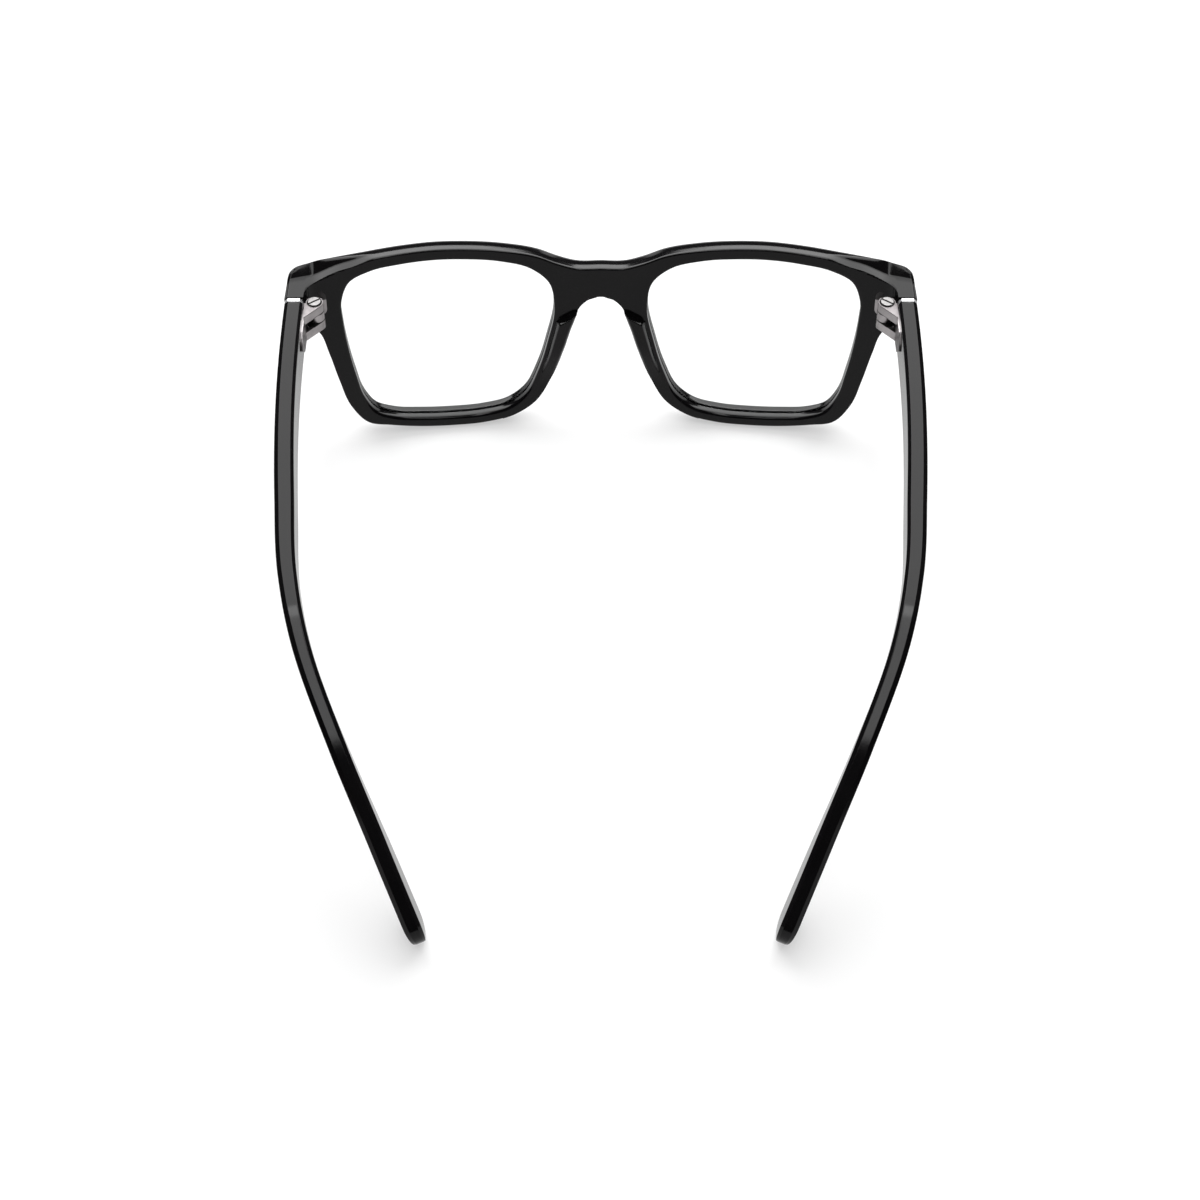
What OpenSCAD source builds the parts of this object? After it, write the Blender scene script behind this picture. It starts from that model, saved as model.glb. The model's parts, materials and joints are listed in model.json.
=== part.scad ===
// Rectangular eyeglasses in black acetate, standing on a table with the temples open.
// The front faces -Y, the temples run toward +Y, and +X is the wearer's left.

/* [Lenses] */
// Width of each lens opening
lens_w = 46.7; // [42:0.2:50]
// Height of each lens opening
lens_h = 40.2; // [35:0.2:43]
// Gap between the two lens openings
bridge_gap = 20.7; // [18:0.1:23]
// Thickness of a lens
lens_t = 2.0; // [1.6:0.1:2.4]
// Depth of the groove that holds a lens
groove_depth = 0.8; // [0.6:0.1:1.0]
// Width of the groove that holds a lens
groove_w = 1.0; // [0.8:0.1:1.3]
// Clearance between a lens and its rim
lens_clear = 0.1; // [0.05:0.05:0.2]

/* [Front] */
// Distance from a lens opening to the outer side of the front
end_out = 11.5; // [11:0.1:13.5]
// Thickness of the front
front_t = 5.0; // [4.4:0.1:5.4]
// Width of the rim above a lens
rim_top = 2.6; // [2:0.1:3.6]
// Width of the rim below a lens
rim_bottom = 2.4; // [2:0.1:3.4]
// Width of the rim on the temple side of a lens
rim_side = 4.4; // [4:0.1:5]
// Width of the rim on the nose side of a lens
rim_nose = 3.9; // [3.6:0.1:5]
// Height of the bridge, from its top to the nose arch
bridge_h = 7.1; // [6:0.1:9]
// How far the bridge's top lies below the top of the lens openings
bridge_drop = 3.1; // [1:0.1:4]
// Radius of the front's curve round the face
wrap_r = 300; // [260:5:400]
// Lean of the front, top forward, when the glasses stand on a table
lean = 13; // [10:0.5:15]
// Bevel along the front's upper outer edge, over the lenses
bevel_top = 0.5; // [0.3:0.1:1]
// Bevel at the upper outer corners
bevel_corner = 0.6; // [0.4:0.1:1]
// Bevel round the rest of the outer edge
bevel_low = 0.6; // [0.4:0.1:0.9]

/* [Endpieces] */
// Drop of the upper outer corners below the top of the front
end_drop = 4.0; // [2:0.2:5]
// How far a temple's top lies below the upper outer corner of the front
joint_drop = 0.1; // [-0.4:0.1:0.6]
// Distance of the joint face behind the middle of the front
joint_y = 2.1; // [1.8:0.1:3.5]
// Radius of the hollow between an endpiece and the back of the front
end_fillet = 4.0; // [3.8:0.1:4.5]
// Gap between an endpiece and the plate on the temple
joint_gap = 0.1; // [0.05:0.05:0.2]

/* [Nose pads] */
// Height of a nose pad's crown behind the rim
pad_h = 2.4; // [1.5:0.1:3]
// Half width of a nose pad's round section
pad_r = 2.5; // [2.2:0.1:2.8]
// Length of a nose pad
pad_l = 15; // [12:0.5:18]
// Height of a nose pad's crown above the bottom of the front
pad_z = 22; // [18:0.5:24]

/* [Temples] */
// Distance from the joint to the end of a temple's centre line, front to back
temple_reach = 136.5; // [124:0.5:144]
// Thickness of a temple at the joint
temple_t = 4.0; // [3.6:0.1:4.4]
// Thickness of a temple in its bent part and at the tip
temple_t_back = 3.4; // [3:0.1:4.4]
// Height of a temple at the joint
temple_h = 9.4; // [8.6:0.1:10]
// Height of a temple at its middle
temple_h_mid = 8.5; // [7:0.1:10]
// Height of a temple's tip
tip_h = 9.8; // [8:0.1:12]
// How far a temple's tip lies in from its joint
temple_in = 32.5; // [26:0.5:36]
// Drop of a temple along its straight part
temple_fall = 1.8; // [0:0.1:4]
// Where the bend starts, as a share of the temple's reach
bend_start = 0.606; // [0.5:0.002:0.7]
// Roll of a temple's tip, its lower edge inward
tip_roll = 16; // [0:1:22]
// Bevel along the edges of a temple
temple_bevel = 0.7; // [0.4:0.05:0.9]
// Thickness of the metal core in a temple
core_t = 1.2; // [0.8:0.1:1.4]
// Height of the metal core in a temple
core_h = 2.4; // [1.6:0.1:3]
// Distance from the end of the core to the end of the temple
core_stop = 14; // [8:1:30]

/* [Hinges] */
// Distance of the hinge pin inward from a temple's inner face at the joint
pin_in = 2.25; // [2.15:0.05:2.4]
// Distance of the hinge pin in front of the joint face
pin_ahead = 0.2; // [0:0.1:0.4]
// Diameter of the hinge barrel
barrel_d = 3.7; // [3.4:0.1:3.8]
// Height of each of the three knuckles
knuckle_h = 2.2; // [2:0.1:2.6]
// Gap between knuckles
knuckle_gap = 0.1; // [0.05:0.05:0.2]
// Diameter of the screw's shank
screw_d = 1.4; // [1.2:0.1:1.6]
// Diameter of the screw's head
head_d = 2.7; // [2.4:0.1:2.8]
// Height of the screw's head
head_h = 0.8; // [0.6:0.1:1]
// Clearance between the screw and the knuckles
pin_clear = 0.05; // [0.02:0.01:0.08]
// Thickness of the metal leaves
leaf_t = 0.9; // [0.7:0.1:1.1]
// Height of the leaves
leaf_h = 5.8; // [5.2:0.2:6.4]
// Length of a temple's leaf behind the joint
leaf_l = 10.3; // [9:0.1:12]
// Width of a front leaf
front_leaf_w = 4.0; // [3.6:0.1:4.4]
// Thickness of the plate on the end of a temple
plate_t = 1.2; // [0.8:0.1:1.4]
// Diameter of the rivets
rivet_d = 1.2; // [1:0.1:1.4]
// Depth of the rivets in the acetate
rivet_l = 1.6; // [1.2:0.1:1.8]
// Clearance round metal parts set into the acetate
seat_clear = 0.05; // [0.02:0.01:0.1]

/* [Hidden] */
$fn = 64;

// Main lines of the front, in its own upright frame: x across, y back, z up
bevel_in = 0.5;
bevel_out = 1.2;
half_w = bridge_gap / 2 + lens_w + end_out;
lens_x = bridge_gap / 2 + lens_w / 2;
lens_z = rim_bottom + lens_h / 2;
lens_top = rim_bottom + lens_h;
front_h = lens_top + rim_top;
bridge_z = lens_top - bridge_drop;
arch_z = bridge_z - bridge_h;
corner_z = front_h - end_drop;
wrap_fn = 720;

// The front leans on the lower front edges of its rims, which are flat there by this depth
rest_flat = 0.12;
rest_depth = front_t - bevel_low - pow(lens_x, 2) / (2 * wrap_r);
front_lift = rest_depth * sin(lean) - rest_flat;
joint_z = corner_z * cos(lean) + front_lift - joint_drop;
end_z = (joint_z - temple_h - front_lift) * cos(lean) - joint_y * sin(lean);

// Temples: centre line, in the upright frame of the table
temple_step = 0.2;
temple_x = half_w - temple_step - temple_t / 2;
temple_y = joint_y + joint_gap + plate_t;
temple_len = temple_reach - joint_gap - plate_t;
temple_zc = joint_z - temple_h / 2;
tab_x = temple_x - temple_t / 2;
fillet_x = tab_x - end_fillet;
bend_power = 1.7;
bend_len = (1 - bend_start) * temple_len;
tip_slope = atan(0.87 * bend_power * (temple_zc - temple_fall) / bend_len);
tip_z = tip_h / 2 * (1 - sin(tip_slope)) + 0.05;
bend_fall = temple_zc - temple_fall - tip_z;
// Share of temple_in that a temple has come in, at shares of its length
CURL = [[0, 0], [0.213, 0.029], [0.41, 0.102], [0.557, 0.18], [0.685, 0.322], [0.803, 0.546],
    [0.902, 0.77], [1, 1]];
temple_steps = 36;
end_steps = 5;

// Hinge pin, the middle height of the leaves and the heights of the knuckles
pin_x = tab_x - pin_in;
pin_y = joint_y - pin_ahead;
leaf_mid = joint_z - temple_h / 2 - 0.3;
knuckle_step = knuckle_h + knuckle_gap;
barrel_low = leaf_mid - 1.5 * knuckle_h - knuckle_gap;
barrel_top = barrel_low + 3 * knuckle_h + 2 * knuckle_gap;

function turn(v) = [-v[1], v[0]];
function unit(v) = v / norm(v);
function at(P, i) = P[(i + len(P)) % len(P)];
// Direction of a closed line at one of its points, weighted by the nearer neighbour
function way(P, i) =
    let (a = at(P, i) - at(P, i - 1), b = at(P, i + 1) - at(P, i), h = norm(a), k = norm(b))
    (a / h * k + b / k * h) / (h + k);
// Cubic between two points, with the directions p and q at its ends
function cubic(a, b, p, q, t) =
    a * (1 - 3 * t * t + 2 * t * t * t) + p * (t - 2 * t * t + t * t * t)
    + b * (3 * t * t - 2 * t * t * t) + q * (t * t * t - t * t);
function smooth_loop(P, n) = [
    for (i = [0 : len(P) - 1], j = [0 : n - 1])
        let (h = norm(at(P, i + 1) - P[i]))
        cubic(P[i], at(P, i + 1), way(P, i) * h, way(P, i + 1) * h, j / n)
];
// A closed line moved outward by w along its normals
function grow(P, w) = [for (i = [0 : len(P) - 1]) P[i] + turn(unit(at(P, i + 1) - at(P, i - 1))) * w];

// Lens opening: points clockwise from the nose side, as shares of its half width and height
LENS_SHAPE = [
    [-1.00, 0.379], [-0.953, 0.672], [-0.78, 0.852], [-0.508, 0.946], [-0.161, 0.991], [0.1, 1.0],
    [0.436, 0.972], [0.716, 0.914], [0.912, 0.797], [0.99, 0.591], [0.99, 0.288], [0.964, -0.015],
    [0.913, -0.36], [0.843, -0.679], [0.738, -0.864], [0.583, -0.943], [0.307, -0.987], [0.01, -1.0],
    [-0.292, -0.981], [-0.535, -0.911], [-0.704, -0.754], [-0.827, -0.462], [-0.927, -0.086]
];
LENS_KNOTS = [for (p = LENS_SHAPE) [lens_x + p[0] * lens_w / 2, lens_z + p[1] * lens_h / 2]];
lens_steps = 3;
LENS_LINE = smooth_loop(LENS_KNOTS, lens_steps);
// A point of the front's outer line, w outside point i of the lens opening
function rim(i, w) = LENS_KNOTS[i] + turn(unit(way(LENS_KNOTS, i))) * w;

// Outer line of the front's right half, clockwise from the top of the bridge to the nose arch
HALF_KNOTS = [
    [0, bridge_z], [0.26 * bridge_gap, bridge_z + 0.05], [0.45 * bridge_gap, bridge_z + 1.2],
    rim(2, rim_top + 0.8), rim(3, rim_top + 0.1), rim(4, rim_top), rim(5, rim_top),
    rim(6, rim_top + 0.1), rim(7, rim_top + 0.6), [half_w - 8, corner_z + 1.6],
    [half_w - 4.2, corner_z + 0.95], [half_w - 1.6, corner_z + 0.2], [half_w - 0.35, corner_z - 1.0],
    [half_w, corner_z - 3.0], [half_w, end_z + 2.4], [half_w - 0.6, end_z + 0.7],
    [half_w - 2.2, end_z], [half_w - 3.8, end_z - 0.1], [half_w - 5.2, end_z - 0.7],
    [half_w - 6.3, end_z - 2.2], rim(11, rim_side), rim(12, rim_side - 0.45),
    rim(13, rim_side - 0.7), rim(14, rim_side - 1.0), rim(15, rim_bottom), rim(16, rim_bottom),
    rim(17, rim_bottom), rim(18, rim_bottom), rim(19, rim_bottom), rim(20, rim_nose - 1.05),
    rim(21, rim_nose - 0.5), rim(22, rim_nose), [0.298 * bridge_gap, arch_z - 6.1],
    [0.214 * bridge_gap, arch_z - 2.2], [0.11 * bridge_gap, arch_z - 0.45], [0, arch_z]
];
corner_from = 8;
corner_to = 14;
FRONT_KNOTS = concat(
    HALF_KNOTS,
    [for (i = [len(HALF_KNOTS) - 2 : -1 : 1]) [-HALF_KNOTS[i][0], HALF_KNOTS[i][1]]]
);
outer_steps = 3;
FRONT_LINE = [for (p = smooth_loop(FRONT_KNOTS, outer_steps)) [max(-half_w, min(half_w, p[0])), p[1]]];

// Depth of the front's bevel at each point of its outer line
function half_bevel(i) =
    i < corner_from ? bevel_top
    : i < corner_to - 3 ? bevel_top + (bevel_corner - bevel_top) * (i - corner_from + 1) / 3
    : i < corner_to + 3 ? bevel_corner + (bevel_low - bevel_corner) * (i - corner_to + 3) / 6
    : bevel_low;
function knot_bevel(k) = half_bevel(k < len(HALF_KNOTS) ? k : len(FRONT_KNOTS) - k);
function bevel_at(j) =
    let (k = floor(j / outer_steps), f = j / outer_steps - k)
    knot_bevel(k) * (1 - f) + knot_bevel((k + 1) % len(FRONT_KNOTS)) * f;

// Temple: a bevelled bar carried along its centre line
function ease(t) = let (c = min(1, max(0, t))) c * c * (3 - 2 * c);
function curl_way(i) =
    let (n = len(CURL), s = function (k) (CURL[k + 1][1] - CURL[k][1]) / (CURL[k + 1][0] - CURL[k][0]))
    i == 0 ? 1.5 * s(0) - 0.5 * s(1)
    : i == n - 1 ? 1.5 * s(n - 2) - 0.5 * s(n - 3)
    : (s(i - 1) * (CURL[i + 1][0] - CURL[i][0]) + s(i) * (CURL[i][0] - CURL[i - 1][0]))
        / (CURL[i + 1][0] - CURL[i - 1][0]);
function curl(u) =
    let (
        below = [for (k = [0 : len(CURL) - 2]) if (CURL[k][0] <= max(u, 0)) k],
        i = below[len(below) - 1],
        w = CURL[i + 1][0] - CURL[i][0]
    )
    cubic(CURL[i][1], CURL[i + 1][1], curl_way(i) * w, curl_way(i + 1) * w, (u - CURL[i][0]) / w);
function temple_mid(u) = [
    temple_x - temple_in * curl(u),
    temple_y + temple_len * u,
    temple_zc - temple_fall * u
        - bend_fall * pow(max(0, (u - bend_start) / (1 - bend_start)), bend_power)
];
step_u = 0.004;
function temple_way(u) = u <= 0 ? [0, 1, 0] : unit(temple_mid(u) - temple_mid(u - step_u));
function level_side(u) = let (d = temple_way(u)) unit([d[1], -d[0], 0]);
function level_up(u) = cross(level_side(u), temple_way(u));
function temple_roll(u) = tip_roll * ease((u - 0.5) / 0.5);
function temple_side(u) = level_side(u) * cos(temple_roll(u)) - level_up(u) * sin(temple_roll(u));
function temple_up(u) = level_up(u) * cos(temple_roll(u)) + level_side(u) * sin(temple_roll(u));
function temple_high(u) =
    temple_h + (temple_h_mid - temple_h) * ease(u / 0.55) + (tip_h - temple_h_mid) * ease((u - 0.6) / 0.33);
function temple_thick(u) = temple_t + (temple_t_back - temple_t) * ease((u - 0.35) / 0.4);
function temple_ring(u, a, b, c) =
    let (
        m = temple_mid(u),
        corners = [
            [a, b - c], [a - c, b], [c - a, b], [-a, b - c],
            [-a, c - b], [c - a, -b], [a - c, -b], [a, c - b]
        ]
    )
    [for (q = corners) m + temple_side(u) * q[0] + temple_up(u) * q[1]];
// Path length for each unit of u at the tip, and where the tip's round end starts
tip_speed = norm(temple_mid(1) - temple_mid(1 - step_u)) / step_u;
tip_round = tip_h / 2;
round_from = 1 - tip_round / tip_speed;
TEMPLE_RINGS = concat(
    [
        for (i = [0 : temple_steps])
            let (u = round_from * i / temple_steps)
            temple_ring(u, temple_thick(u) / 2, temple_high(u) / 2, temple_bevel)
    ],
    [
        for (i = [1 : end_steps])
            let (
                turned = 78 * i / end_steps,
                k = cos(turned),
                u = round_from + (1 - round_from) * sin(turned),
                a = temple_thick(u) / 2 * (0.72 + 0.28 * k)
            )
            temple_ring(u, a, tip_h / 2 * k, temple_bevel * (0.3 + 0.7 * k))
    ]
);

// Depth of the front's curved sheet at x: n is 0 at its back face and grows toward its front face
function sheet_y(x, n) = wrap_r - sqrt(pow(wrap_r + n, 2) - x * x);
// How far a wall at x stands square to the sheet, from 1 over the lenses to 0 at the endpieces
function squareness(x) = 1 - ease((abs(x) - fillet_x) / 4);
// Where a wall that crosses the sheet's back face at x meets the plane y
function wall_x(x, y) =
    x + squareness(x) * ((wrap_r - y) * x / sqrt(wrap_r * wrap_r - x * x) - x);
sheet_from = -10;
sheet_to = 20;
sheet_low = -10;
sheet_high = 60;

module mirrored(side) {
    if (side > 0) children();
    else mirror([1, 0, 0]) children();
}
// From the table's frame to the frame with its origin under the middle of the whole object
fore_y = min([
    for (j = [0 : len(FRONT_LINE) - 1])
        for (s = [[-bevel_in, front_t], [0, front_t - bevel_at(j)]])
            let (x = FRONT_LINE[j][0] * (1 + s[1] / wrap_r * squareness(FRONT_LINE[j][0])))
            sheet_y(x, s[1]) * cos(lean) - FRONT_LINE[j][1] * sin(lean)
]);
back_y = max([for (r = TEMPLE_RINGS) for (p = r) p[1]]);
mid_y = (fore_y + back_y) / 2;
module placed() {
    translate([0, -mid_y, 0]) children();
}
module leaning() {
    translate([0, 0, front_lift]) rotate([lean, 0, 0]) children();
}
// A prism whose walls stand square to the curved sheet, and run straight back at the endpieces
module prism(line) {
    rod_solid([for (y = [sheet_to, sheet_from]) [for (p = line) [wall_x(p[0], y), y, p[1]]]]);
}
module wrap_round(n) {
    translate([0, wrap_r, sheet_low]) cylinder(r = wrap_r + n, h = sheet_high - sheet_low, $fn = wrap_fn);
}
module sheet(n0, n1) {
    difference() {
        wrap_round(n1);
        wrap_round(n0);
    }
}

// Endpiece: the sheet carried round the corner and back to the joint
fillet_y = wrap_r - sqrt(pow(wrap_r - end_fillet, 2) - pow(fillet_x, 2));
fillet_start = fillet_x * wrap_r / (wrap_r - end_fillet);
tab_y = sheet_y(half_w, front_t / 2);
module tab() {
    difference() {
        translate([fillet_start, tab_y, sheet_low])
            cube([half_w + 1 - fillet_start, sheet_to - 1 - tab_y, sheet_high - sheet_low]);
        translate([fillet_x, fillet_y, sheet_low - 1])
            cylinder(r = end_fillet, h = sheet_high - sheet_low + 2);
        translate([fillet_x, fillet_y, sheet_low - 1])
            cube([end_fillet, sheet_to, sheet_high - sheet_low + 2]);
    }
}

// A loop of rings, each with the same number of points, as one closed ring-shaped solid
module ring_solid(rings) {
    m = len(rings);
    k = len(rings[0]);
    polyhedron(
        points = [for (r = rings) for (p = r) p],
        faces = [
            for (i = [0 : m - 1], j = [0 : k - 1])
                let (a = i * k, b = ((i + 1) % m) * k, q = (j + 1) % k)
                for (t = [[a + j, b + j, b + q], [a + j, b + q, a + q]]) t
        ]
    );
}
// A row of rings with a flat face at each end
module rod_solid(rings) {
    m = len(rings);
    k = len(rings[0]);
    polyhedron(
        points = [for (r = rings) for (p = r) p],
        faces = concat(
            [[for (j = [k - 1 : -1 : 0]) j]],
            [
                for (i = [0 : m - 2], j = [0 : k - 1])
                    let (a = i * k, b = (i + 1) * k, q = (j + 1) % k)
                    for (t = [[a + j, a + q, b + q], [a + j, b + q, b + j]]) t
            ],
            [[for (j = [0 : k - 1]) (m - 1) * k + j]]
        )
    );
}

// Bevel along the outer edge of the front's face
function bevel_ring(j) =
    let (
        p = FRONT_LINE[j],
        o = turn(unit(at(FRONT_LINE, j + 1) - at(FRONT_LINE, j - 1))),
        b = bevel_at(j),
        section = [
            [-1.5 * bevel_in, front_t + 0.5 * b],
            [0.5 * bevel_in, front_t - 1.5 * b],
            [bevel_out, front_t + bevel_out]
        ]
    )
    [
        for (s = section)
            let (
                x = p[0] * (1 + s[1] / wrap_r * squareness(p[0])) + o[0] * s[0]
            )
            [x, sheet_y(x, s[1]), p[1] + o[1] * s[0]]
    ];
module edge_bevel() {
    ring_solid([for (j = [0 : len(FRONT_LINE) - 1]) bevel_ring(j)]);
}

// What is planed off the top of an endpiece, so that it runs level into the temple.
// Each pair is a distance in from the front's side and the height there above the joint.
PLANED = [[-5, 0], [6.2, 0.05], [8.5, 0.8], [11.2, 1.6], [15, 2.0], [21.5, 3.7]];
planed_back = 5.1;
planed_rise = 0.35;
planed_reach = 12;
module above_endpiece() {
    n = len(PLANED);
    rows = [
        [joint_y + 5, 0],
        [joint_y - planed_back, 0],
        [joint_y - planed_back - planed_reach, planed_rise * planed_reach]
    ];
    low = [
        for (r = rows, p = PLANED)
            [half_w - p[0], r[0], joint_z + p[1] + r[1]]
    ];
    high = [for (q = low) [q[0], q[1], front_h + 20]];
    m = len(low);
    function quad(a, b, c, d) = [[a, b, c], [a, c, d]];
    polyhedron(
        points = concat(low, high),
        faces = concat(
            [for (r = [0 : 1], i = [0 : n - 2]) each let (a = r * n + i, b = a + n)
                [[a, a + 1, b + 1], [a, b + 1, b]]],
            [for (r = [0 : 1], i = [0 : n - 2]) each let (a = m + r * n + i, b = a + n)
                [[a, b + 1, a + 1], [a, b, b + 1]]],
            [for (i = [0 : n - 2]) each quad(i + 1, i, m + i, m + i + 1)],
            [for (i = [0 : n - 2]) each quad(2 * n + i, 2 * n + i + 1, m + 2 * n + i + 1, m + 2 * n + i)],
            [for (r = [0 : 1]) each quad(r * n, (r + 1) * n, m + (r + 1) * n, m + r * n)],
            [for (r = [0 : 1]) each
                quad((r + 2) * n - 1, (r + 1) * n - 1, m + (r + 1) * n - 1, m + (r + 2) * n - 1)]
        )
    );
}
module behind_joint() {
    translate([fillet_x, joint_y, 0]) cube([30, 30, 80]);
}
module below_table() {
    translate([-100, -100, -20]) cube([200, 400, 20]);
}

// Seat of the hinge's front leaf, square to the back face where it lies
front_leaf_x = pin_x;
front_leaf_y = sheet_y(front_leaf_x, 0);
front_leaf_z = (leaf_mid - front_lift - front_leaf_y * sin(lean)) / cos(lean);
front_leaf_turn = asin(front_leaf_x / wrap_r);
front_rivet_x = 0;
front_rivet_z = leaf_h / 2 - 1.1;
module on_front_leaf() {
    translate([front_leaf_x, front_leaf_y, front_leaf_z]) rotate([0, 0, front_leaf_turn]) children();
}
module leaf_outline(w, h, r) {
    translate([-w / 2 + r, -h / 2, 0]) square([w - 2 * r, h]);
    translate([-w / 2, -h / 2 + r, 0]) square([w, h - 2 * r]);
    for (x = [-1, 1], z = [-1, 1]) translate([x * (w / 2 - r), z * (h / 2 - r), 0]) circle(r = r);
}
leaf_round = 1.4;
module front_leaf_block(depth, height, gap) {
    rotate([90, 0, 0]) translate([0, 0, -height])
        linear_extrude(height = depth + height)
            leaf_outline(front_leaf_w + 2 * gap, leaf_h + 2 * gap, leaf_round + gap);
}
module front_rivet_holes(gap) {
    for (z = [-1, 1]) translate([front_rivet_x, 0.5, z * front_rivet_z]) rotate([90, 0, 0])
        cylinder(d = rivet_d + 2 * gap, h = 0.5 + leaf_t + rivet_l);
}

// Hollow in the front that the barrel turns in
room = 0.3;
module barrel_room() {
    translate([pin_x, pin_y, barrel_low - 1.5])
        cylinder(r = barrel_d / 2 + room, h = barrel_top + room - barrel_low + 1.5);
}

module lens_opening() {
    prism(LENS_LINE);
    intersection() {
        prism(grow(LENS_LINE, groove_depth));
        sheet(front_t / 2 - groove_w / 2, front_t / 2 + groove_w / 2);
    }
}

module front_frame() {
    color([0.09, 0.085, 0.09]) placed() difference() {
        leaning() difference() {
            intersection() {
                prism(FRONT_LINE);
                union() {
                    sheet(0, front_t);
                    for (side = [-1, 1]) mirrored(side) tab();
                }
            }
            edge_bevel();
            for (side = [-1, 1]) mirrored(side) {
                lens_opening();
                on_front_leaf() {
                    front_leaf_block(leaf_t, 6, seat_clear);
                    front_rivet_holes(0);
                }
            }
        }
        for (side = [-1, 1]) mirrored(side) {
            above_endpiece();
            behind_joint();
            barrel_room();
        }
        below_table();
    }
}

module lens() {
    leaning() {
        intersection() {
            prism(grow(LENS_LINE, -lens_clear));
            sheet(front_t / 2 - lens_t / 2, front_t / 2 + lens_t / 2);
        }
        intersection() {
            prism(grow(LENS_LINE, groove_depth - lens_clear));
            sheet(front_t / 2 - groove_w / 2 + lens_clear, front_t / 2 + groove_w / 2 - lens_clear);
        }
    }
}

// Nose pad: a spindle along the nose side of the rim, standing out of the back face
pad_turn = 15;
pad_half = pad_l / 2 + 0.5;
pad_arc = (pow(pad_half, 2) + pow(pad_r, 2)) / (2 * pad_r);
pad_steps = 9;
pad_x = bridge_gap / 2 - 0.7;
pad_seat = 0.01;
module nose_pad() {
    leaning() intersection() {
        translate([pad_x, sheet_y(pad_x, 0) + pad_h - pad_r, pad_z]) rotate([0, -pad_turn, 0])
            rotate_extrude() polygon([
                for (i = [-pad_steps : pad_steps])
                    let (z = i / pad_steps * pad_half)
                    [abs(i) == pad_steps ? 0 : sqrt(pad_arc * pad_arc - z * z) - pad_arc + pad_r, z]
            ]);
        wrap_round(-pad_seat);
    }
}

// Metal core in a temple and the channel that it lies in
core_out = 0.2;
core_end = 1 - core_stop / tip_speed;
core_steps = 24;
function core_rings(gap) = [
    for (i = [0 : core_steps])
        let (u = core_end * i / core_steps, a = core_t / 2 + gap, b = core_h / 2 + gap, m = temple_mid(u),
            end = i == core_steps ? gap : i == 0 ? -gap : 0)
        [
            for (q = [[a, b], [-a, b], [-a, -b], [a, -b]])
                m + temple_side(u) * (q[0] + core_out) + temple_up(u) * q[1] + temple_way(u) * end
        ]
];

// The hinge's temple leaf, square to the temple's inner face at the joint
leaf_sunk = 0.5;
leaf_point = leaf_h / 2;
leaf_turn = asin(temple_in * curl_way(0) / temple_len);
temple_rivet_z = -0.25 * leaf_h;
TEMPLE_RIVETS_Y = [0.36 * leaf_l, 0.7 * leaf_l];
// The temple's rivets stop short of its core wire
temple_rivet_l = min(rivet_l, temple_t / 2 + core_out - core_t / 2 - seat_clear - leaf_sunk - 0.3);
module on_temple_leaf() {
    translate([tab_x, temple_y, leaf_mid]) rotate([0, 0, leaf_turn]) children();
}
module leaf_shape(gap) {
    l = leaf_l + gap;
    h = leaf_h / 2 + gap;
    s = l - leaf_point;
    polygon([[0, -h], [s, -h], [l - 0.8, -0.9], [l, 0], [l - 0.8, 0.9], [s, h], [0, h]]);
}
// The leaf's block, from "out" proud of the inner face to "deep" below it
module leaf_block(out, deep, gap) {
    translate([-out, 0, 0]) multmatrix([[0, 0, 1, 0], [1, 0, 0, 0], [0, 1, 0, 0], [0, 0, 0, 1]])
        linear_extrude(height = out + deep) leaf_shape(gap);
}
module temple_rivet_holes(gap) {
    for (y = TEMPLE_RIVETS_Y) translate([leaf_sunk - leaf_t, y, temple_rivet_z]) rotate([0, 90, 0])
        cylinder(d = rivet_d + 2 * gap, h = leaf_t + temple_rivet_l);
}

module temple() {
    difference() {
        rod_solid(TEMPLE_RINGS);
        rod_solid(core_rings(seat_clear));
        on_temple_leaf() {
            leaf_block(2, leaf_sunk, seat_clear);
            temple_rivet_holes(0);
        }
        below_table();
    }
}
module core_wire() {
    rod_solid(core_rings(0));
}
module end_plate() {
    ring = TEMPLE_RINGS[0];
    translate([0, joint_y + joint_gap + plate_t, 0]) rotate([90, 0, 0])
        linear_extrude(height = plate_t) polygon([for (p = ring) [p[0], p[2]]]);
}

module barrel(low, high) {
    translate([pin_x, pin_y, low]) cylinder(d = barrel_d, h = high - low);
}
module pin_bore() {
    translate([pin_x, pin_y, barrel_low - 1])
        cylinder(d = screw_d + 2 * pin_clear, h = barrel_top - barrel_low + 2);
}
arm_w = barrel_d - 1.2;
module front_arm(low) {
    difference() {
        translate([pin_x - arm_w / 2, pin_y - 9, low]) cube([arm_w, 9, knuckle_h]);
        leaning() on_front_leaf() translate([-15, -20 - leaf_t / 2, -15]) cube([30, 20, 30]);
    }
}
module front_hinge() {
    low = barrel_low + knuckle_step;
    difference() {
        union() {
            leaning() on_front_leaf() front_leaf_block(leaf_t, 0, 0);
            front_arm(low);
            barrel(low, low + knuckle_h);
        }
        pin_bore();
        leaning() on_front_leaf() front_rivet_holes(0);
    }
}

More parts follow.
